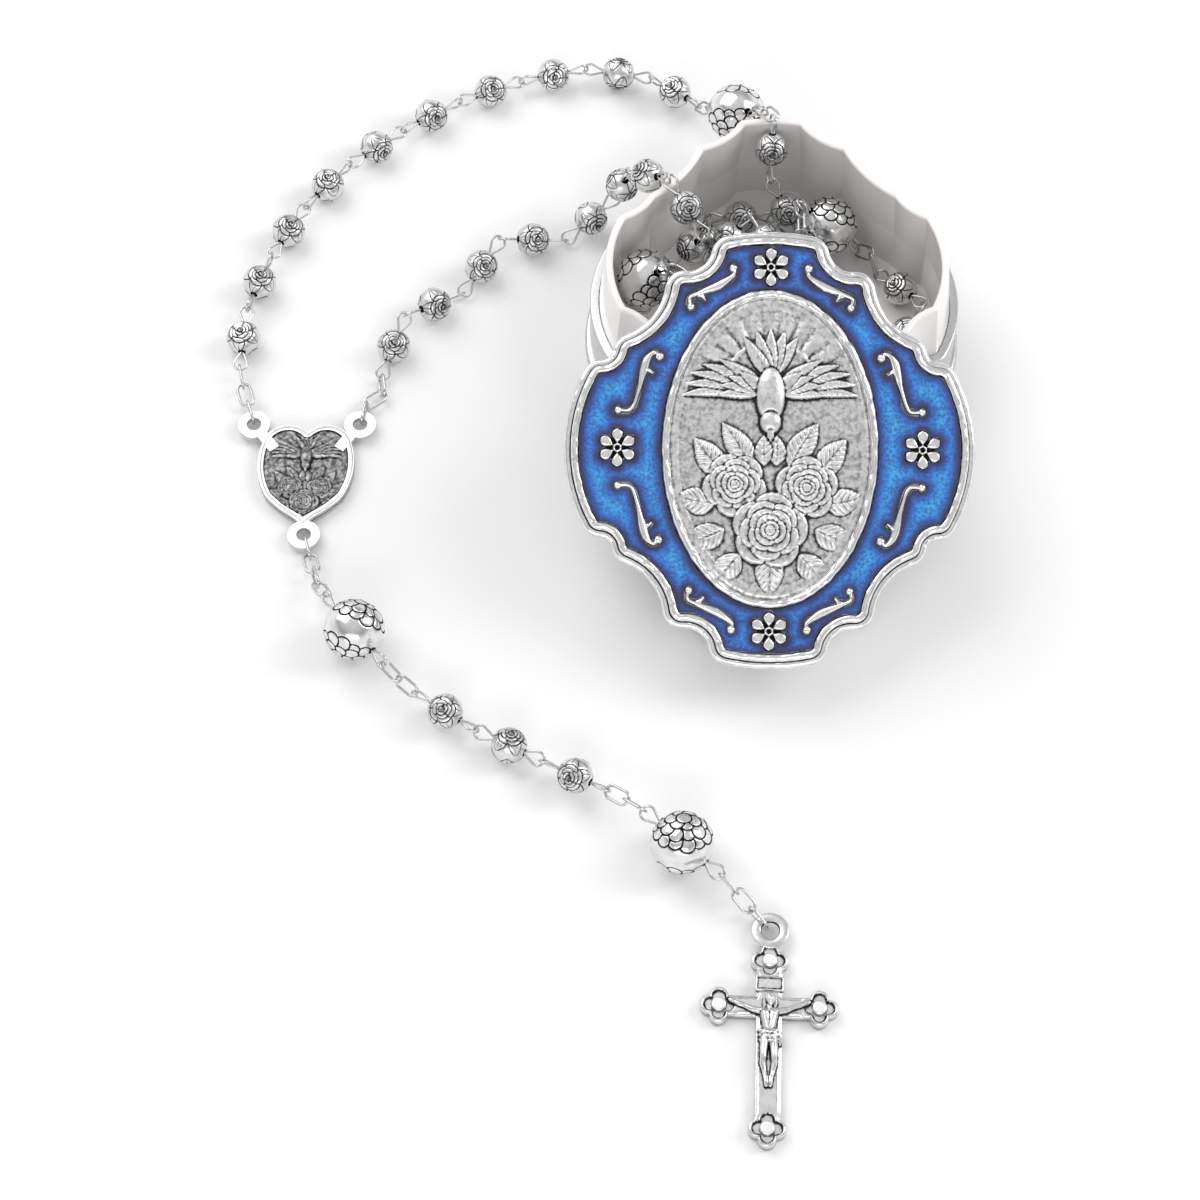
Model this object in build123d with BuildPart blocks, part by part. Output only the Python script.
"""Rosary keepsake box with its enamelled lid leaning on the rim, and the rosary that it keeps.

Millimetres, +Z up. The origin is the middle of the base's underside, and +Y points to the back of the
box. The lid is modelled where it leans, on its own plane, which is tilted about X and touches the floor
in front of the box.
"""

import os
from math import asin, cos, degrees, pi, radians, sin, sqrt

import numpy as np
from build123d import *

os.makedirs("parts", exist_ok=True)

# ---------------------------------------------------------------- driving dimensions
# Box outline: a bracketed cartouche, as half sizes from the middle.
body_half_width = 30.1
body_half_length = 31.8
body_dips = (0.8, 1.3, 1.3)  # how deep the hollows between the corners are
body_corner = 2.2

# Base
base_height = 11.2  # floor to the ledge that the lid sits on
base_wall = 1.4
base_floor = 1.2
foot_height = 1.3
foot_spread = 0.8
foot_round = 0.6
ledge_round = 0.35

# Liner
liner_gap = 0.1  # between the liner and the base
liner_wall = 1.2
liner_floor = 1.2
liner_rise = 10.8  # ledge to the liner's rim
liner_lean = 1.1  # how far the free wall leans in by the rim
liner_rim_round = 0.45

# Lid
field_half_width = 29.5
field_half_length = 31.6
field_dips = (1.25, 2.0, 2.0)
field_corner = 0.9
rim_width = 1.0
rim_round = 0.35
step_drop = 1.4  # rim's top down to the moulding
step_width = 1.1
step_height = 1.4
step_round = 0.45
field_recess = 0.7
enamel_thickness = 0.45
lid_plate = 0.8
lid_wall = 1.1
lid_headroom = 0.15  # between the lid's plate and the liner's rim when it is closed
lid_side = -2.4  # where the lid's middle lies when it leans on the box
lid_front = -37.7
lid_roll = -0.5  # degrees about its own normal
rest_gap = 0.1  # between the leaning lid and what carries it

# Bezel and medallion
bezel_half_width = 16.55
bezel_half_length = 24.4
bezel_width = 1.25
bezel_height = 1.3
bezel_round = 0.35
medallion_gap = 0.05
medallion_edge = 0.75
medallion_border = 1.5
medallion_crown = 0.9  # rise of the domed middle above the edge

# Ornaments on the enamel
flower_side_inset = 6.1  # field's side in to a flower's middle
flower_end_inset = 3.6
flower_radius = 2.95
flower_eye = 0.62
petal_count = 6
petal_reach = 1.75  # flower's middle to the middle of a petal
petal_half_width = 0.8
ornament_rise = 0.1  # above the rim's top
scroll_width = 0.8
scroll_ball = 0.55
thorn_width = 0.45
# Scrolls, in from the field's left side and up from its lower end: the stroke, then its thorn's root and tip.
SCROLL_SIDE = (
    [(6.2, 25.8), (8.2, 25.6), (9.3, 22.8), (9.9, 20.2), (10.6, 17.9), (11.7, 16.9), (12.5, 17.5)],
    (10.2, 19.0),
    (11.6, 20.1),
)
SCROLL_END = (
    [(17.2, 9.8), (17.0, 8.5), (18.5, 7.7), (21.6, 6.4), (23.7, 4.9), (23.7, 3.8)],
    (18.1, 7.8),
    (19.5, 8.8),
)
ornament_gap = 0.03  # between an ornament and the enamel round it

# Rosary
ave_radius = 2.85
pater_radius = 4.85
bead_hole_radius = 0.65
wire_radius = 0.21
eye_reach = 3.44  # bead's surface to the far side of its wire eye
eye_radius = 1.12
eye_depth = 0.6  # how far inside the bead the eye's legs part
joint_play = 0.12  # between two wires that hook into each other
link_length = 4.52
link_width = 2.6
link_wire_radius = 0.235
aves_in_decade = 10
decades = 5
floor_air = 0.05  # under whatever lies on a surface
bead_air = 0.12  # between neighbouring beads
wall_air = 0.08  # between the rosary and the box's walls
wire_air = 0.03  # between wires that hook into each other
joint_radius = 1.25  # room that a hooked pair of eyes takes
push_limit = 1.5  # the most that one step moves a bead out of a wall
look_ahead = 2.0  # how near a wall a bead is watched
settle_steps = 900
untangle_steps = 120

# Centre medal, in its own plane
medal_at = (-76.1, -27.6)
medal_thickness = 1.8
medal_border = 0.9
medal_recess = 0.35
lug_radius = 2.6
lug_hole_radius = 1.2
lug_thickness = 0.9
lug_height = 0.9  # underside above the floor
lug_bearing = 0.3  # hole's edge in to where a link's end lies
lug_neck_width = 1.8
lug_left = (-8.8, 9.7)
lug_right = (8.5, 9.7)
lug_bottom = (0.3, -11.2)
lug_neck_start = 0.3  # beyond the hole's edge
lug_root_left = (-5.2, 5.0)
lug_root_right = (5.2, 5.0)
lug_root_bottom = (0.0, -7.0)
medal_dip = 8.1  # up to the hollow between the shoulders
medal_shoulder_top = (4.3, 9.35)
medal_shoulder = (7.2, 6.2)
medal_side = (7.75, 1.2)
medal_hip = (6.2, -4.0)
medal_hollow = (3.9, -6.3)
medal_ankle = (1.9, -7.7)
medal_point = 9.35

# Crucifix, measured down from the middle of its ring
cross_at = (-3.1, -107.3)
cross_turn = -2.4
cross_thickness = 1.8
shaft_width = 3.85
arm_height = 3.1
top_drop = 4.75
title_drop = 8.6
arm_drop = 12.0
foot_drop = 30.8
arm_reach = 7.4  # shaft's axis to the middle of an arm's end
title_size = (4.2, 2.3, 0.45)
title_bevel = 0.15
bud_radius = 1.35
bud_spread = 1.45
bud_border = 0.55
bud_recess = 0.5
stud_radius = 1.1
stud_rise = 0.35
cross_lug_radius = 2.87
cross_lug_hole_radius = 1.35
cross_lug_height = 1.2  # underside above the floor
cross_lug_thickness = 0.75
cross_lug_round = 0.25

# Where the rosary lies: the middles of its beads, chosen by hand, with the heights of those in the air.
rim_crossing_back = (0.1, 27.6, 24.0)
rim_crossing_left = (-17.4, 15.4, 23.8)
floor_left = [
    (-88.2, -1.7), (-85.6, 9.6), (-82.0, 19.3), (-75.8, 29.8), (-67.3, 38.4),
    (-57.0, 45.5), (-46.7, 51.0), (-35.9, 53.9), (-25.3, 54.6), (-15.1, 50.1),
]
behind_box = (-6.0, 36.4, 13.0)
over_left_rim = [(-21.2, 18.6, 18.4), (-26.5, 23.2, 9.0)]
floor_right = [(-30.5, 22.2), (-39.1, 18.7), (-48.6, 12.5), (-55.9, 5.2), (-62.5, -3.3)]
heap_low, heap_high = 5.35, 11.2
heap_start = [
    (0.2, 24.6, 18.9), (1.4, 21, 9.2), (2, 15, heap_low), (-2, 9.9, heap_low), (-8.5, 9.9, heap_low),
    (-14.2, 13.5, heap_low), (-12, 20, heap_low), (-5, 23.8, heap_low), (-3.8, 18.6, 9.2), (-9, 13.5, heap_high),
    (-13, 6.5, heap_high), (-9.5, 0.5, heap_high), (-1.5, 0.5, heap_high), (3.5, 6, heap_high), (7.2, 11.8, 9),
    (10.2, 17.2, 7.5), (14.6, 18.6, 7), (18, 15.4, 6.2), (21.8, 8, heap_low), (23.4, 0, heap_low),
]
coil_middle, coil_size, coil_shrink, coil_steps = (0.5, -10.5), (21.0, 14.8), 6.2, 18
heap_end = [
    (-3, -13.4, heap_high), (-10.5, -14.5, heap_high), (-9.5, -21, heap_high), (-1.5, -22.5, heap_high),
    (7, -20.5, heap_high), (12.5, -14, heap_high), (9, -7, heap_high), (1.5, -5.5, heap_high),
    (-6, -6.5, heap_high), (-14.5, -5.5, 10.6), (-20.5, -2.5, 9), (-21.6, 6.5, 7.6), (-19.8, 12.4, 6.4),
    (-15.3, 14, 8.6), (-14.6, 11.8, 15.6),
]
pendant_beads = [(-68.0, -57.5), (-53.3, -71.7), (-43.2, -77.3), (-32.9, -81.6), (-15.8, -93.3)]

# Corpus: its joints as (across, down from the ring, above the cross's face), and its limbs' half thicknesses
corpus_hand = (5.75, 11.4, 0.3)
corpus_elbow = (3.7, 12.3, 0.33)
corpus_shoulder = (1.35, 13.2, 0.5)
corpus_neck = (0.0, 12.5, 0.65)
corpus_head = (0.2, 11.4, 0.95)
corpus_waist = (0.0, 15.7, 0.4)
corpus_hip = (0.6, 17.2, 0.4)
corpus_knee = (0.75, 20.2, 0.75)
corpus_ankle = (0.35, 23.2, 0.3)
corpus_toe = (0.3, 24.6, 0.35)
arm_thickness = 0.48
head_thickness = 0.95
neck_thickness = 0.57
chest_thickness = 0.9
waist_thickness = 0.85
cloth_thickness = 1.0
leg_thickness = 0.62
foot_thickness = 0.45

# ---------------------------------------------------------------- values worked out
rim_height = base_height + liner_rise
inner_floor = base_floor + liner_gap + liner_floor
lid_depth = liner_rise + lid_headroom + lid_plate + field_recess
moulding_foot = step_drop + step_height
liner_inset = base_wall + liner_gap

# Corners of a quarter of the cartouche, as shares of the half sizes.
CORNERS = ((0.895, 0.367), (0.746, 0.487), (0.475, 0.810), (0.234, 0.975))


def cartouche_circles(half_width, half_length, dips):
    """The outline's 16 arcs as (centre, radius, bulge, end corner), anticlockwise from the right-hand lobe."""
    corners = [(half_width * x, half_length * y) for x, y in CORNERS]
    corners += [(-x, y) for x, y in reversed(corners)]
    corners += [(-x, -y) for x, y in corners]
    apexes = {0: (half_width, 0), 4: (0, half_length), 8: (-half_width, 0), 12: (0, -half_length)}
    depths = (None,) + dips + (None,) + dips[::-1]
    circles = []
    for index in range(16):
        start, end = np.array(corners[index - 1]), np.array(corners[index])
        along = (end - start) / np.hypot(*(end - start))
        inward = np.array([-along[1], along[0]])
        half = np.hypot(*(end - start)) / 2
        depth = depths[index % 8]
        if depth is None:
            depth = abs((apexes[index] - start) @ inward)
            bulge = 1
        else:
            bulge = -1
        radius = (half**2 + depth**2) / (2 * depth)
        centre = (start + end) / 2 + bulge * inward * (radius - depth)
        circles.append((centre, radius, bulge, end))
    return circles


def cartouche_arcs(half_width, half_length, dips, corner, spread):
    """Arcs (start, middle, end) of the outline let out by spread, with its corners rounded."""
    ring = [(centre, radius + bulge * spread, bulge, end) for centre, radius, bulge, end in
            cartouche_circles(half_width, half_length, dips)]
    corner = max(corner + spread, 0.5)
    rounds = []
    for (c1, r1, s1, tip), (c2, r2, s2, _) in zip(ring, ring[1:] + ring[:1]):
        reach1, reach2 = r1 - s1 * corner, r2 - s2 * corner
        length = np.hypot(*(c2 - c1))
        unit = (c2 - c1) / length
        along = (reach1**2 - reach2**2 + length**2) / (2 * length)
        across = sqrt(reach1**2 - along**2)
        side = np.array([-unit[1], unit[0]]) * across
        centres = [c1 + unit * along + side, c1 + unit * along - side]
        rounds.append(min(centres, key=lambda point: np.hypot(*(point - tip))))
    arcs = []
    for index, (centre, radius, bulge, _) in enumerate(ring):
        def touch(point, middle=centre, reach=radius):
            return middle + (point - middle) / np.hypot(*(point - middle)) * reach

        start, end = touch(rounds[index - 1]), touch(rounds[index])
        arcs.append((start, touch((start + end) / 2), end))
        following, next_radius = ring[(index + 1) % 16][:2]
        tip = touch(rounds[index], following, next_radius)
        arcs.append((end, touch((end + tip) / 2, rounds[index], corner), tip))
    return [tuple(tuple(map(float, point)) for point in arc) for arc in arcs]


def cartouche(half_width, half_length, dips, corner, spread):
    """The outline's face, let out by spread."""
    with BuildSketch() as shape:
        with BuildLine():
            for start, middle, end in cartouche_arcs(half_width, half_length, dips, corner, spread):
                ThreePointArc(start, middle, end)
        make_face()
    return shape.sketch


def body_outline(inset=0.0):
    """The box's outline, drawn in by inset."""
    return cartouche(body_half_width, body_half_length, body_dips, body_corner, -inset)


def field_outline(spread=0.0):
    """The enamel field's outline, let out by spread."""
    return cartouche(field_half_width, field_half_length, field_dips, field_corner, spread)


def save(piece, name):
    """Labels a finished piece and writes its STEP file."""
    piece.part.label = name
    export_step(piece.part, f"parts/{name}.step")


# ---------------------------------------------------------------- base
with BuildPart() as base_shell:
    with BuildSketch(Plane.XY):
        add(body_outline(-foot_spread))
    extrude(amount=foot_height)
    fillet(edges().group_by(Axis.Z)[-1], foot_round)
    with BuildSketch(Plane.XY):
        add(body_outline())
    extrude(amount=base_height)
    fillet(edges().group_by(Axis.Z)[-1], ledge_round)
    with BuildSketch(Plane.XY.offset(base_floor)):
        add(body_outline(base_wall))
    extrude(amount=base_height, mode=Mode.SUBTRACT)
save(base_shell, "base_shell")

# ---------------------------------------------------------------- liner
with BuildPart() as liner:
    with BuildSketch(Plane.XY.offset(base_floor + liner_gap)):
        add(body_outline(liner_inset))
    extrude(amount=base_height - base_floor - liner_gap)
    with BuildSketch(Plane.XY.offset(base_height)):
        add(body_outline(liner_inset))
    with BuildSketch(Plane.XY.offset(rim_height)):
        add(body_outline(liner_inset + liner_lean))
    loft(ruled=True)
    with BuildSketch(Plane.XY.offset(inner_floor)):
        add(body_outline(liner_inset + liner_wall))
    extrude(amount=base_height - inner_floor, mode=Mode.SUBTRACT)
    with BuildSketch(Plane.XY.offset(base_height)):
        add(body_outline(liner_inset + liner_wall))
    with BuildSketch(Plane.XY.offset(rim_height)):
        add(body_outline(liner_inset + liner_wall + liner_lean))
    loft(ruled=True, mode=Mode.SUBTRACT)
    fillet(edges().group_by(Axis.Z)[-1], liner_rim_round)
save(liner, "liner")


# ---------------------------------------------------------------- the leaning lid's plane
def outline_points(shape, step=0.15):
    """Points along a sketch's outer edge, in order."""
    points = []
    for edge in shape.wire().order_edges():
        count = max(int(edge.length / step), 4)
        points += [tuple(edge @ (index / count))[:2] for index in range(count)]
    return np.array(points)


def inside(points, polygon):
    """Which points lie inside a closed polygon."""
    ax, ay = polygon.T
    bx, by = np.roll(polygon, -1, 0).T
    x, y = points[:, :1], points[:, 1:2]
    spans = (ay > y) != (by > y)
    crosses = x < (bx - ax) * (y - ay) / np.where(by == ay, 1e-12, by - ay) + ax
    return (spans & crosses).sum(1) % 2 == 1


turn = radians(lid_roll)
spin = np.array([[cos(turn), -sin(turn)], [sin(turn), cos(turn)]])
skirt_edges = [outline_points(body_outline(inset)) @ spin.T for inset in (0, lid_wall)]
skirt_reach = -skirt_edges[0][:, 1].min()
rim_outer = outline_points(body_outline(liner_inset + liner_lean))
rim_inner = outline_points(body_outline(liner_inset + liner_lean + liner_wall))


def skirt_over_rim(lean):
    """Lowest height of the skirt's lower edge over the liner's rim, with its front on the floor."""
    heights = []
    for across, along in (edge.T for edge in skirt_edges):
        forward = along * cos(lean) + lid_depth * sin(lean) + lid_front
        points = np.column_stack([across + lid_side, forward])
        on_rim = inside(points, rim_outer) & ~inside(points, rim_inner)
        heights.append((rest_gap + (along[on_rim] + skirt_reach) * sin(lean)).min())
    return min(heights)


low, high = radians(5), radians(60)
while high - low > 1e-6:
    lean = (low + high) / 2
    if skirt_over_rim(lean) < rim_height + rest_gap:
        low = lean
    else:
        high = lean
lid_rise = rest_gap + skirt_reach * sin(lean) + lid_depth * cos(lean)
lid_plane = Plane(
    origin=(lid_side, lid_front, lid_rise),
    x_dir=(cos(turn), sin(turn) * cos(lean), sin(turn) * sin(lean)),
    z_dir=(0, -sin(lean), cos(lean)),
)
lid_up = Axis(lid_plane.origin, lid_plane.z_dir)
print(f"The lid leans at {degrees(lean):.2f} degrees, with its middle {lid_rise:.2f} up.")

# ---------------------------------------------------------------- lid
with BuildPart() as lid_shell:
    with BuildSketch(lid_plane.offset(-moulding_foot)):
        add(field_outline(rim_width + step_width))
    extrude(amount=step_height)
    fillet(edges().group_by(lid_up)[-1] + edges().group_by(lid_up)[0], step_round)
    with BuildSketch(lid_plane.offset(-moulding_foot)):
        add(field_outline(rim_width))
    extrude(amount=moulding_foot)
    fillet(edges().group_by(lid_up)[-1], rim_round)
    with BuildSketch(lid_plane.offset(-lid_depth)):
        add(body_outline())
    extrude(amount=lid_depth - moulding_foot)
    with BuildSketch(lid_plane.offset(-field_recess)):
        add(field_outline())
    extrude(amount=field_recess, mode=Mode.SUBTRACT)
    with BuildSketch(lid_plane.offset(-lid_depth)):
        add(body_outline(lid_wall))
    extrude(amount=lid_depth - field_recess - lid_plate, mode=Mode.SUBTRACT)
save(lid_shell, "lid_shell")

recess_plane = lid_plane.offset(-field_recess)
with BuildPart() as lid_bezel:
    with BuildSketch(recess_plane):
        Ellipse(bezel_half_width, bezel_half_length)
        Ellipse(bezel_half_width - bezel_width, bezel_half_length - bezel_width, mode=Mode.SUBTRACT)
    extrude(amount=bezel_height)
    fillet(edges().group_by(lid_up)[-1], bezel_round)
save(lid_bezel, "lid_bezel")

plate_half_width = bezel_half_width - bezel_width - medallion_gap
plate_half_length = bezel_half_length - bezel_width - medallion_gap
with BuildPart() as lid_medallion:
    with BuildSketch(recess_plane):
        Ellipse(plate_half_width, plate_half_length)
    extrude(amount=medallion_edge)
    for border, rise in ((0, 0), (0.45, 0.6), (0.7, 0.9), (0.86, 1.0)):
        shrink = medallion_border + border * (plate_half_width - medallion_border)
        with BuildSketch(recess_plane.offset(medallion_edge + rise * medallion_crown)):
            Ellipse(plate_half_width - shrink, plate_half_length - shrink)
    loft()
save(lid_medallion, "lid_medallion")


def flower_sketch(spread=0.0):
    """One flower's outline: petals round a middle."""
    with BuildSketch() as flower:
        with PolarLocations(petal_reach, petal_count, start_angle=90):
            Ellipse(flower_radius - petal_reach + spread, petal_half_width + spread)
        Circle(petal_reach + spread)
        Circle(flower_eye / 2 - spread, mode=Mode.SUBTRACT)
    return flower.sketch


flower_side = field_half_width - flower_side_inset
flower_end = field_half_length - flower_end_inset
flower_spots = [(0, flower_end), (-flower_side, 0), (0, -flower_end), (flower_side, 0)]
with BuildPart() as lid_flowers:
    with BuildSketch(recess_plane):
        with Locations(*flower_spots):
            add(flower_sketch())
    extrude(amount=field_recess + ornament_rise)
save(lid_flowers, "lid_flowers")


def scroll_sketch(spread=0.0):
    """The scrolls in all four corners of the field."""
    with BuildSketch() as scrolls:
        for path, root, tip in (SCROLL_SIDE, SCROLL_END):
            spots = [(x - field_half_width, y - field_half_length) for x, y in (*path, root, tip)]
            with BuildLine():
                Spline(*spots[:-2])
            trace(line_width=scroll_width + 2 * spread)
            with BuildLine():
                Line(*spots[-2:])
            trace(line_width=thorn_width + 2 * spread)
            with Locations(spots[0], spots[-3]):
                Circle(scroll_ball + spread)
        mirror(about=Plane.YZ)
        mirror(about=Plane.XZ)
    return scrolls.sketch


with BuildPart() as lid_scrolls:
    with BuildSketch(recess_plane):
        add(scroll_sketch())
    extrude(amount=field_recess + ornament_rise)
save(lid_scrolls, "lid_scrolls")

with BuildPart() as lid_enamel:
    with BuildSketch(recess_plane):
        add(field_outline(-ornament_gap))
        Ellipse(bezel_half_width + ornament_gap, bezel_half_length + ornament_gap, mode=Mode.SUBTRACT)
        add(scroll_sketch(ornament_gap), mode=Mode.SUBTRACT)
        with Locations(*flower_spots):
            add(flower_sketch(ornament_gap), mode=Mode.SUBTRACT)
            Circle(petal_reach, mode=Mode.SUBTRACT)
    extrude(amount=enamel_thickness)
save(lid_enamel, "lid_enamel")


# ---------------------------------------------------------------- rosary: how the chain lies
def smooth(points, count=40):
    """A smooth curve through hand-chosen points."""
    points = np.array(points, float)
    points = np.vstack([2 * points[0] - points[1], points, 2 * points[-1] - points[-2]])
    curve = []
    for p0, p1, p2, p3 in zip(points, points[1:], points[2:], points[3:]):
        t1 = np.linalg.norm(p1 - p0) ** 0.5
        t2 = t1 + np.linalg.norm(p2 - p1) ** 0.5
        t3 = t2 + np.linalg.norm(p3 - p2) ** 0.5
        for t in np.linspace(t1, t2, count, endpoint=False):
            a1 = ((t1 - t) * p0 + t * p1) / t1
            a2 = ((t2 - t) * p1 + (t - t1) * p2) / (t2 - t1)
            a3 = ((t3 - t) * p2 + (t - t2) * p3) / (t3 - t2)
            b1 = ((t2 - t) * a1 + t * a2) / t2
            b2 = ((t3 - t) * a2 + (t - t1) * a3) / (t3 - t1)
            curve.append(((t2 - t) * b1 + (t - t1) * b2) / (t2 - t1))
    return np.array(curve + [points[-2]])


def spread_along(curve, lengths):
    """Joints shared out along a curve in proportion to the lengths between them."""
    steps = np.linalg.norm(np.diff(curve, axis=0), axis=1)
    travel = np.concatenate([[0], np.cumsum(steps)])
    places = np.concatenate([[0], np.cumsum(lengths)]) / sum(lengths) * travel[-1]
    return np.column_stack([np.interp(places, travel, curve[:, axis]) for axis in range(3)])


def nearest_on(points, ring):
    """Offset from a closed ring's nearest point to each point, with its length."""
    runs = np.roll(ring, -1, 0) - ring
    share = ((points[:, None] - ring) * runs).sum(2) / (runs**2).sum(1)
    offsets = points[:, None] - ring - np.clip(share, 0, 1)[..., None] * runs
    lengths = np.linalg.norm(offsets, axis=2)
    best = lengths.argmin(1)
    rows = np.arange(len(points))
    return offsets[rows, best], lengths[rows, best]


def wall_push(spheres, radii, wall):
    """How far each sphere has to move to clear a wall that stands on a ring, from its own side."""
    ring, top, keep_in = wall
    away, length = nearest_on(spheres[:, :2], ring)
    right_side = inside(spheres[:, :2], ring) == keep_in
    depth = radii + wall_air - np.where(right_side, length, -length)
    depth = np.clip(depth, 0, push_limit) * (spheres[:, 2] < top) / (length + 1e-9)
    flat = np.where(right_side[:, None], away, -away) * depth[:, None]
    return np.column_stack([flat, np.zeros(len(flat))])


def edge_push(spheres, radii, edge):
    """How far each sphere has to move to clear a rounded edge that runs along a ring."""
    ring, thickness = edge
    away, length = nearest_on(spheres, ring)
    depth = np.clip(radii + thickness - length, 0, push_limit) / (length + 1e-9)
    return away * depth[:, None]


def settle(joints, units, held, targets, indoors):
    """Lets a chain of rigid units lie down: it keeps its lengths and clears the box, the floor and itself."""
    joints = np.array(joints, float)
    lengths = np.array([half_lengths[unit] * 2 for unit in units])
    balls = np.array([index for index, unit in enumerate(units) if bead_radii[unit]])
    radii = np.concatenate([np.full(len(joints), joint_radius), [bead_radii[units[index]] for index in balls]])
    place = np.concatenate([np.arange(len(joints)) - 0.5, balls])
    is_ball = np.arange(len(radii)) >= len(joints)
    first, second = np.triu_indices(len(radii), 1)
    apart = np.abs(place[first] - place[second]) > np.where(is_ball[first] | is_ball[second], 0.6, 1.2)
    first, second = first[apart], second[apart]
    reach = radii[first] + radii[second] + bead_air
    free = np.ones((len(joints), 1))
    free[held] = 0
    within = (place > indoors[0] - 0.5) & (place < indoors[1] - 0.5)
    ground = np.where(within, inner_floor, 0) + radii + floor_air
    fold = [index for index in range(len(first)) if not is_ball[second[index]] and second[index] - first[index] == 2]
    reach[fold] = np.hypot(lengths[first[fold]], lengths[first[fold] + 1])
    for step in range(settle_steps):
        late = step >= settle_steps * 0.85
        joints[:, 2] -= (0.03 if step < settle_steps * 0.6 else 0.0 if late else 0.01) * free[:, 0]
        if not late:
            for index, spot in targets.items():
                pull = (np.array(spot) - (joints[index] + joints[index + 1]) / 2) * 0.15
                joints[index] += pull * free[index]
                joints[index + 1] += pull * free[index + 1]
        spheres = np.vstack([joints, (joints[balls] + joints[balls + 1]) / 2])
        near_walls = []
        for wall in walls:
            side = np.flatnonzero(within if wall[2] else ~within)
            near_walls.append(side[nearest_on(spheres[side, :2], wall[0])[1] < radii[side] + look_ahead])
        near_edges = [np.flatnonzero(nearest_on(spheres, edge[0])[1] < radii + look_ahead) for edge in soft_edges]
        for _ in range(12 if late else 3):
            for start in (0, 1):
                index = np.arange(start, len(units), 2)
                run = joints[index + 1] - joints[index]
                length = np.linalg.norm(run, axis=1)
                weight = np.maximum(free[index] + free[index + 1], 1)
                move = run * ((length - lengths[index]) / length)[:, None] / weight
                joints[index] += move * free[index]
                joints[index + 1] -= move * free[index + 1]
            spheres = np.vstack([joints, (joints[balls] + joints[balls + 1]) / 2])
            between = spheres[second] - spheres[first]
            distance = np.linalg.norm(between, axis=1) + 1e-9
            close = reach > distance
            push = between[close] * ((reach - distance) / distance / 2)[close][:, None]
            shift = np.zeros_like(spheres)
            np.add.at(shift, first[close], -push)
            np.add.at(shift, second[close], push)
            shift[:, 2] += np.maximum(ground - spheres[:, 2], 0)
            for wall, near in zip(walls, near_walls):
                shift[near] += wall_push(spheres[near], radii[near], wall)
            for edge, near in zip(soft_edges, near_edges):
                shift[near] += edge_push(spheres[near], radii[near], edge)
            total = shift[: len(joints)].copy()
            np.add.at(total, balls, shift[len(joints):])
            np.add.at(total, balls + 1, shift[len(joints):])
            size = np.linalg.norm(total, axis=1, keepdims=True) + 1e-9
            joints += total * np.minimum(0.5, 0.3 / size) * free
    return joints


bead_radii = {"a": ave_radius, "p": pater_radius, "l": 0}
half_lengths = {
    "a": ave_radius + eye_reach - 2 * wire_radius - joint_play,
    "p": pater_radius + eye_reach - 2 * wire_radius - joint_play,
    "l": link_length / 2 - 2 * link_wire_radius - joint_play,
}
rim_middle = outline_points(body_outline(liner_inset + liner_lean + liner_wall / 2), 2.0)
ledge_edge = outline_points(body_outline(), 2.0)
walls = [
    (outline_points(body_outline(liner_inset + liner_lean + liner_wall), 2.0), rim_height - liner_wall / 2, True),
    (outline_points(body_outline(liner_inset), 2.0), rim_height - liner_wall / 2, False),
    (ledge_edge, base_height, False),
]
rim_line = np.column_stack([rim_middle, np.full(len(rim_middle), rim_height - liner_wall / 2)])
ledge_line = np.column_stack([ledge_edge, np.full(len(ledge_edge), base_height)])
soft_edges = [(rim_line, liner_wall / 2 + wall_air), (ledge_line, wall_air)]

decade = "a" * aves_in_decade
first_crossing = len("lll" + decade + "llpll")
second_crossing = first_crossing + len(decade + "llpll" + decade + "llpll" + decade + "llpll" + "aaa")
loop = "lll" + "llpll".join([decade] * decades) + "lll"
pendant = "llllpllaaallplll"
lug_link_height = link_width / 2 + 2 * floor_air


def lug_joint(lug, hole_radius, toward):
    """Where the first link hooks into a lug's hole."""
    heading = np.subtract(toward[:2], lug) / np.hypot(*np.subtract(toward[:2], lug))
    return (*(np.array(lug) + heading * (hole_radius - lug_bearing)), lug_link_height)


def on_floor(points, radius):
    """Points on the floor, raised to the middle of beads of a radius."""
    return [(x, y, radius + floor_air) for x, y in points]


def at_medal(lug):
    """A place on the centre medal, in the world."""
    return (medal_at[0] + lug[0], medal_at[1] + lug[1])


left_beads = on_floor(floor_left, ave_radius)
right_beads = on_floor(floor_right, ave_radius)
coil = [
    (
        coil_middle[0] + (coil_size[0] - coil_shrink * step / 8) * cos(pi / 4 * step),
        coil_middle[1] - max(coil_size[1] - coil_shrink * step / 8, 0.4) * sin(pi / 4 * step),
        heap_low,
    )
    for step in range(1, coil_steps + 1)
]
loop_start = lug_joint(at_medal(lug_left), lug_hole_radius, floor_left[0])
loop_end = lug_joint(at_medal(lug_right), lug_hole_radius, floor_right[-1])
stretches = [
    ([loop_start, *left_beads, behind_box, rim_crossing_back], 0, first_crossing),
    ([rim_crossing_back, *heap_start, *coil, *heap_end, rim_crossing_left], first_crossing, second_crossing),
    ([rim_crossing_left, *over_left_rim, *right_beads, loop_end], second_crossing, len(loop)),
]
loop_joints = []
for points, start, end in stretches:
    shared = spread_along(smooth(points), [half_lengths[unit] * 2 for unit in loop[start:end]])
    loop_joints += list(shared if start == 0 else shared[1:])
paters = [index for index, unit in enumerate(loop) if unit == "p"]
loop_targets = {3 + index: bead for index, bead in enumerate(left_beads)}
loop_targets |= {len(loop) - 8 + index: bead for index, bead in enumerate(right_beads)}
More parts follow.
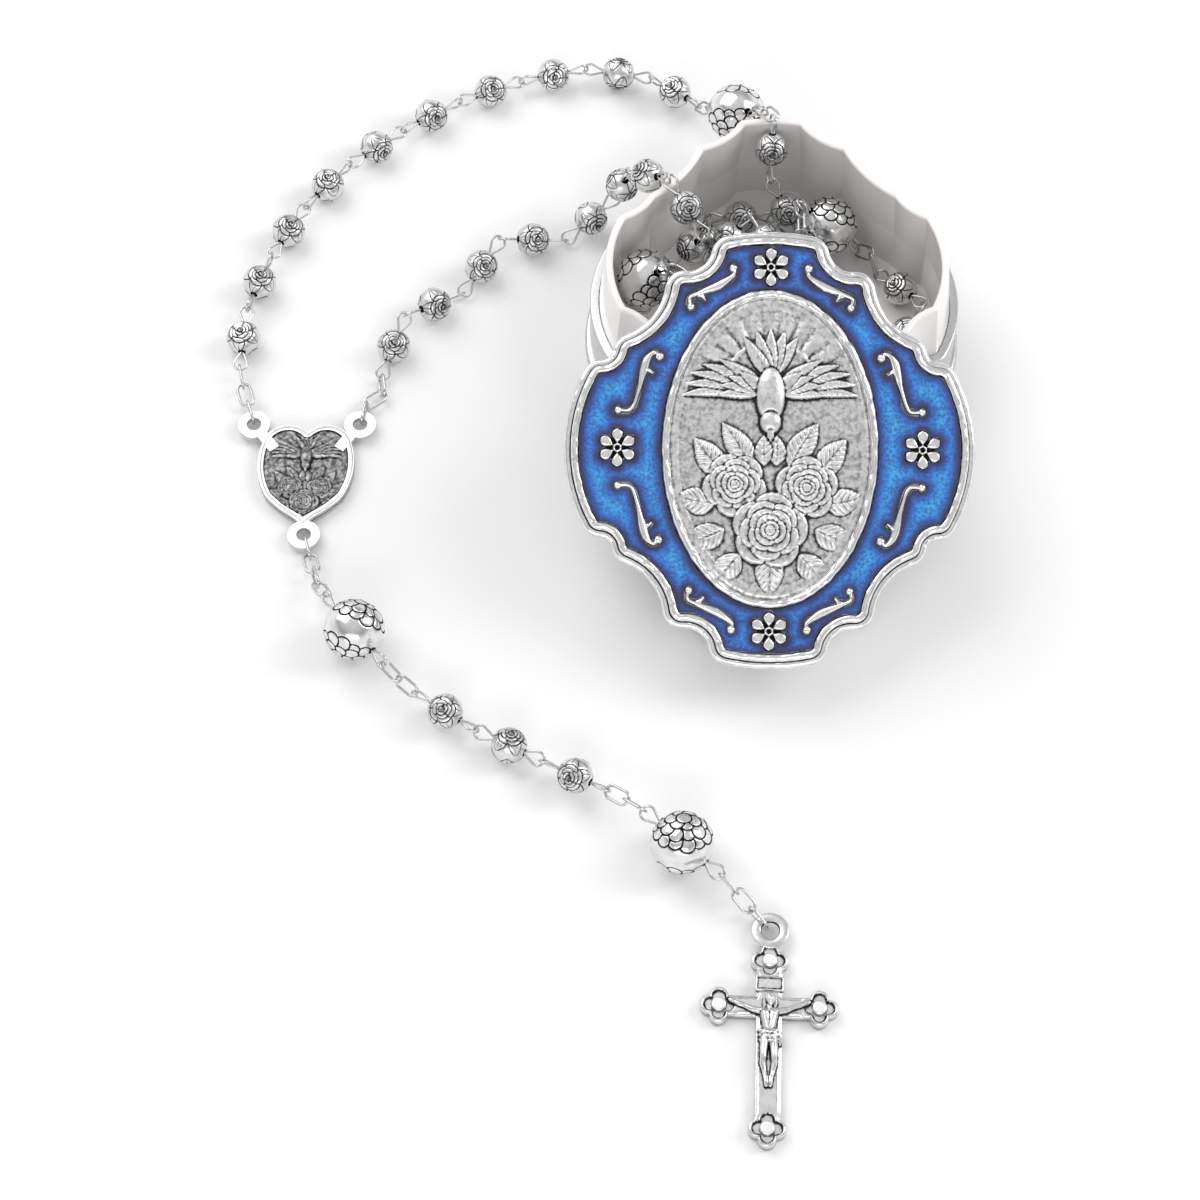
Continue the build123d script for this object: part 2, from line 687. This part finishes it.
loop_targets |= {
    paters[0]: behind_box,
    first_crossing: (0.2, 24.5, 18.9),
    first_crossing + 1: (1.4, 20.5, 8.3),
    first_crossing + 6: (-10.5, 18.5, heap_low),
    first_crossing + 7: (-4.5, 24.0, heap_low),
    paters[1]: (9.8, 16.6, 7.5),
    paters[1] + 3: (21.4, 6.5, heap_low),
    paters[3]: (-21.0, 7.6, 7.5),
    second_crossing - 2: (-12.6, 10.3, 9.0),
    second_crossing - 1: (-15.9, 13.0, 20.3),
    second_crossing: over_left_rim[0],
}
held = [0, first_crossing, second_crossing, len(loop)]
loop_joints = settle(loop_joints, loop, held, loop_targets, (first_crossing, second_crossing))

pendant_radii = [bead_radii[unit] for unit in pendant if bead_radii[unit]]
pendant_spots = [(x, y, radius + floor_air) for (x, y), radius in zip(pendant_beads, pendant_radii)]
pendant_start = lug_joint(at_medal(lug_bottom), lug_hole_radius, pendant_beads[0])
pendant_end = lug_joint(cross_at, cross_lug_hole_radius, pendant_beads[-1])
pendant_joints = spread_along(
    smooth([pendant_start, *pendant_spots, pendant_end]), [half_lengths[unit] * 2 for unit in pendant]
)
bead_units = [index for index, unit in enumerate(pendant) if unit != "l"]
pendant_targets = dict(zip(bead_units, pendant_spots))
outdoors = (len(pendant) + 1, len(pendant) + 1)
pendant_joints = settle(pendant_joints, pendant, [0, len(pendant)], pendant_targets, outdoors)


def unit_planes(joints):
    """A plane for each unit: x along it and z across its eyes, a quarter turn on from the unit before."""
    runs = np.diff(joints, axis=0)
    runs /= np.linalg.norm(runs, axis=1, keepdims=True)
    normals = [np.cross(runs[0], (0, 0, 1))]
    for run in runs[1:]:
        carried = normals[-1] / np.linalg.norm(normals[-1])
        normals.append(carried - run * (carried @ run))
    normals = [normal / np.linalg.norm(normal) for normal in normals]
    level = np.cross(runs[-1], (0, 0, 1))
    level /= np.linalg.norm(level)
    quarter_turns = (len(runs) - 1) % 2 * pi / 2
    angle = np.arctan2(np.cross(normals[-1], level) @ runs[-1], normals[-1] @ level) - quarter_turns
    angle -= pi * round(angle / pi)
    planes = []
    for index, (run, normal) in enumerate(zip(runs, normals)):
        roll = index % 2 * pi / 2 + angle * index / (len(runs) - 1)
        across = normal * cos(roll) + np.cross(run, normal) * sin(roll)
        middle = (joints[index] + joints[index + 1]) / 2
        planes.append(Plane(origin=tuple(middle), x_dir=tuple(run), z_dir=tuple(across)))
    return planes


def wire_line(unit):
    """Points along a unit's wire, and the middle of its bead, in its own plane, with their radii."""
    angles = np.linspace(0, 2 * pi, 40, endpoint=False)
    if unit == "l":
        straight = (link_length - link_width) / 2
        ring = link_width / 2 - link_wire_radius
        sides = [(x, side * ring) for x in np.linspace(-straight, straight, 8) for side in (-1, 1)]
        bends = [(np.sign(cos(angle)) * straight + ring * cos(angle), ring * sin(angle)) for angle in angles]
        points = np.array(sides + bends)
        return points, np.full(len(points), link_wire_radius)
    radius = bead_radii[unit]
    eye_middle = radius + eye_reach - wire_radius - eye_radius
    ring = [(eye_middle + eye_radius * cos(angle), eye_radius * sin(angle)) for angle in angles]
    steps = np.linspace(0, 1, 8)
    legs = [(radius + step * (eye_middle - radius), side * step * eye_radius) for step in steps for side in (-1, 1)]
    eyes = [(end * x, y) for end in (-1, 1) for x, y in ring + legs]
    points = np.array([(0, 0)] + eyes)
    return points, np.array([radius] + [wire_radius] * len(eyes))


def untangle(planes, units, indoors):
    """Moves units that touch a little apart, with each one's direction kept."""
    middles = np.array([tuple(plane.origin) for plane in planes])
    lines = []
    for plane, unit in zip(planes, units):
        points, radii = wire_line(unit)
        axes = np.array([tuple(plane.x_dir), tuple(plane.y_dir)])
        lines.append((points @ axes, radii))
    for step in range(untangle_steps):
        if step % 20 == 0:
            apart = np.linalg.norm(middles[:, None] - middles, axis=2)
            near = [(a, b) for a, b in zip(*np.triu_indices(len(units), 1)) if apart[a, b] < 15]
        moves = np.zeros_like(middles)
        for a, b in near:
            between = (lines[b][0] + middles[b])[None] - (lines[a][0] + middles[a])[:, None]
            gaps = np.linalg.norm(between, axis=2) - lines[a][1][:, None] - lines[b][1]
            row, column = np.unravel_index(gaps.argmin(), gaps.shape)
            if gaps[row, column] < wire_air:
                push = between[row, column] / np.linalg.norm(between[row, column])
                push *= (wire_air - gaps[row, column]) / 2
                moves[a] -= push
                moves[b] += push
        middles += moves
        for index, (line, radii) in enumerate(lines):
            ground = inner_floor if indoors[0] <= index < indoors[1] else 0
            lowest = (line[:, 2] + middles[index, 2] - radii).min()
            middles[index, 2] += max(ground + wire_air - lowest, 0)
    return [
        Plane(origin=tuple(middle), x_dir=plane.x_dir, z_dir=plane.z_dir)
        for middle, plane in zip(middles, planes)
    ]


loop_planes = untangle(unit_planes(loop_joints), loop, (first_crossing + 1, second_crossing - 1))
pendant_planes = untangle(unit_planes(pendant_joints), pendant, (0, 0))


# ---------------------------------------------------------------- rosary: its pieces
def make_bead(radius):
    """A bead round the origin with its hole along X."""
    mouth = sqrt(radius**2 - bead_hole_radius**2)
    with BuildPart() as bead:
        with BuildSketch(Plane.XY):
            with BuildLine():
                ThreePointArc((-mouth, bead_hole_radius), (0, radius), (mouth, bead_hole_radius))
                Line((mouth, bead_hole_radius), (-mouth, bead_hole_radius))
            make_face()
        revolve(axis=Axis.X)
    return bead.part


def make_pin(radius):
    """The wire through a bead, with a drop-shaped eye in the XY plane at each end."""
    root = radius - eye_depth
    eye_middle = radius + eye_reach - wire_radius - eye_radius
    lean_out = asin(eye_radius / (eye_middle - root))
    touch_x, touch_y = eye_middle - eye_radius * sin(lean_out), eye_radius * cos(lean_out)
    leg_length = sqrt((touch_x - root) ** 2 + touch_y**2)
    with BuildPart() as pin:
        with BuildSketch(Plane(origin=(-root, 0, 0), z_dir=(1, 0, 0))):
            Circle(wire_radius)
        extrude(amount=2 * root)
        for end in (1, -1):
            with Locations((end * root, 0, 0)):
                Sphere(wire_radius)
            for side in (1, -1):
                leg = Plane(origin=(end * root, 0, 0), z_dir=(end * (touch_x - root), side * touch_y, 0))
                with BuildSketch(leg):
                    Circle(wire_radius)
                extrude(amount=leg_length)
            with BuildSketch(Plane(origin=(end * touch_x, touch_y, 0), z_dir=(end * (touch_x - root), touch_y, 0))):
                Circle(wire_radius)
            revolve(axis=Axis((end * eye_middle, 0, 0), (0, 0, -end)), revolution_arc=180 + 2 * degrees(lean_out))
    return pin.part


def make_link():
    """A long oval chain link in the XY plane."""
    straight = (link_length - link_width) / 2
    ring_radius = link_width / 2 - link_wire_radius
    with BuildPart() as link:
        for end in (1, -1):
            with BuildSketch(Plane(origin=(-end * straight, end * ring_radius, 0), z_dir=(end, 0, 0))):
                Circle(link_wire_radius)
            extrude(amount=2 * straight)
            with BuildSketch(Plane(origin=(end * straight, end * ring_radius, 0), z_dir=(end, 0, 0))):
                Circle(link_wire_radius)
            revolve(axis=Axis((end * straight, 0, 0), (0, 0, -1)), revolution_arc=180)
    return link.part


def place(shape, planes, name):
    """Puts a separate copy of a shape on each plane, as one node."""
    copies = [solid.moved(plane.location) for plane in planes for solid in shape.solids()]
    export_step(Compound(label=name, children=copies), f"parts/{name}.step")


chain = [(unit, plane) for unit, plane in zip(loop, loop_planes)]
loop_aves = [plane for unit, plane in chain if unit == "a"]
loop_paters = [plane for unit, plane in chain if unit == "p"]
hanging = [(unit, plane) for unit, plane in zip(pendant, pendant_planes)]
pendant_aves = [plane for unit, plane in hanging if unit == "a"]
pendant_paters = [plane for unit, plane in hanging if unit == "p"]

ave_bead, ave_pin = make_bead(ave_radius), make_pin(ave_radius)
pater_bead, pater_pin = make_bead(pater_radius), make_pin(pater_radius)
chain_link = make_link()
for number in range(decades):
    planes = loop_aves[number * aves_in_decade:(number + 1) * aves_in_decade]
    place(ave_bead, planes, f"decade_{number + 1}_beads")
    place(ave_pin, planes, f"decade_{number + 1}_pins")
place(ave_bead, pendant_aves, "pendant_ave_beads")
place(ave_pin, pendant_aves, "pendant_ave_pins")
place(pater_bead, loop_paters + pendant_paters, "pater_beads")
place(pater_pin, loop_paters + pendant_paters, "pater_pins")
place(chain_link, [plane for unit, plane in chain if unit == "l"], "loop_links")
place(chain_link, [plane for unit, plane in hanging if unit == "l"], "pendant_links")


# ---------------------------------------------------------------- centre medal
medal_plane = Plane(origin=(*medal_at, 0))


def medal_outline(inset=0.0):
    """The medal's face: two shoulders above, drawn in to a point below."""
    with BuildSketch() as face:
        with BuildLine():
            ThreePointArc((0, medal_dip), medal_shoulder_top, medal_shoulder)
            ThreePointArc(medal_shoulder, medal_side, medal_hip)
            ThreePointArc(medal_hip, medal_hollow, medal_ankle)
            Line(medal_ankle, (0, -medal_point))
            mirror(about=Plane.YZ)
        make_face()
        if inset:
            offset(amount=-inset, mode=Mode.REPLACE)
    return face.sketch


with BuildPart() as centre_medal:
    with BuildSketch(medal_plane):
        add(medal_outline())
    extrude(amount=medal_thickness)
    with BuildSketch(medal_plane.offset(medal_thickness - medal_recess)):
        add(medal_outline(medal_border))
    extrude(amount=medal_recess, mode=Mode.SUBTRACT)
    for lug, root in ((lug_left, lug_root_left), (lug_right, lug_root_right), (lug_bottom, lug_root_bottom)):
        neck = Vector(root[0] - lug[0], root[1] - lug[1])
        along = Plane(origin=(*at_medal(lug), lug_height), x_dir=(neck.X, neck.Y, 0), z_dir=(0, 0, 1))
        with BuildSketch(along):
            Circle(lug_radius)
            neck_start = lug_hole_radius + lug_neck_start
            with Locations((neck_start, 0)):
                Rectangle(neck.length - neck_start, lug_neck_width, align=(Align.MIN, Align.CENTER))
        extrude(amount=lug_thickness)
        with Locations(along):
            Hole(lug_hole_radius)
save(centre_medal, "centre_medal")

# ---------------------------------------------------------------- crucifix
cross_spin = radians(cross_turn)
cross_plane = Plane(origin=(*cross_at, 0), x_dir=(cos(cross_spin), sin(cross_spin), 0), z_dir=(0, 0, 1))
cross_face = cross_plane.offset(cross_thickness)
bud_spots = [(0, -top_drop), (-arm_reach, -arm_drop), (0, -foot_drop), (arm_reach, -arm_drop)]


def bud_sketch(inset=0.0):
    """The four-lobed end of an arm."""
    with BuildSketch() as bud:
        with PolarLocations(bud_spread, 4):
            Circle(bud_radius - inset)
        Circle(bud_spread)
    return bud.sketch


with BuildPart() as cross_ring:
    with BuildSketch(cross_plane.offset(cross_lug_height)):
        Circle(cross_lug_radius)
        Circle(cross_lug_hole_radius, mode=Mode.SUBTRACT)
    extrude(amount=cross_lug_thickness)
    fillet(edges().group_by(Axis.Z)[0] + edges().group_by(Axis.Z)[-1], cross_lug_round)

with BuildPart() as crucifix:
    with BuildSketch(cross_plane):
        with Locations((0, -(top_drop + foot_drop) / 2)):
            Rectangle(shaft_width, foot_drop - top_drop)
        with Locations((0, -arm_drop)):
            Rectangle(2 * arm_reach, arm_height)
        with Locations(*bud_spots):
            add(bud_sketch())
    extrude(amount=cross_thickness)
    with BuildSketch(cross_face.offset(-bud_recess)):
        with Locations(*bud_spots):
            add(bud_sketch(bud_border))
    extrude(amount=bud_recess, mode=Mode.SUBTRACT)
    add(cross_ring.part)
save(crucifix, "crucifix")

with BuildPart() as crucifix_studs:
    with BuildSketch(cross_face.offset(-bud_recess)):
        with Locations(*bud_spots):
            Circle(stud_radius)
    extrude(amount=bud_recess + stud_rise)
    fillet(edges().group_by(Axis.Z)[-1], stud_rise)
save(crucifix_studs, "crucifix_studs")

with BuildPart() as title_plate:
    with BuildSketch(cross_face):
        with Locations((0, -title_drop)):
            Rectangle(*title_size[:2])
    extrude(amount=title_size[2])
    chamfer(edges().group_by(Axis.Z)[-1], title_bevel)
save(title_plate, "title_plate")


def corpus_spot(joint, side=1):
    """A joint of the figure, in the world."""
    across, down, above = joint
    return cross_face.from_local_coords((side * across, -down, above))


def limb(start, end, thickness):
    """Adds a round-ended limb to the part in use."""
    run = end - start
    with BuildPart() as piece:
        with Locations(Plane(origin=start, z_dir=run)):
            Sphere(thickness)
            Cylinder(thickness, run.length, align=(Align.CENTER, Align.CENTER, Align.MIN))
        with Locations(end):
            Sphere(thickness)
    return piece.part


limbs = [
    limb(corpus_spot(corpus_shoulder), corpus_spot(corpus_shoulder, -1), chest_thickness),
    limb(corpus_spot(corpus_neck), corpus_spot(corpus_waist), chest_thickness),
    limb(corpus_spot(corpus_waist), corpus_spot(corpus_hip), waist_thickness),
    limb(corpus_spot(corpus_hip), corpus_spot(corpus_hip, -1), cloth_thickness),
    limb(corpus_spot(corpus_neck), corpus_spot(corpus_head), neck_thickness),
]
for side in (1, -1):
    arm = [corpus_spot(joint, side) for joint in (corpus_hand, corpus_elbow, corpus_shoulder)]
    leg = [corpus_spot(joint, side) for joint in (corpus_hip, corpus_knee, corpus_ankle)]
    limbs += [limb(start, end, arm_thickness) for start, end in zip(arm, arm[1:])]
    limbs += [limb(start, end, leg_thickness) for start, end in zip(leg, leg[1:])]
    limbs.append(limb(corpus_spot(corpus_ankle, side), corpus_spot(corpus_toe, side), foot_thickness))
with BuildPart() as corpus:
    add(limbs)
    with Locations(corpus_spot(corpus_head)):
        Sphere(head_thickness)
    split(bisect_by=cross_face, keep=Keep.TOP)
save(corpus, "corpus")
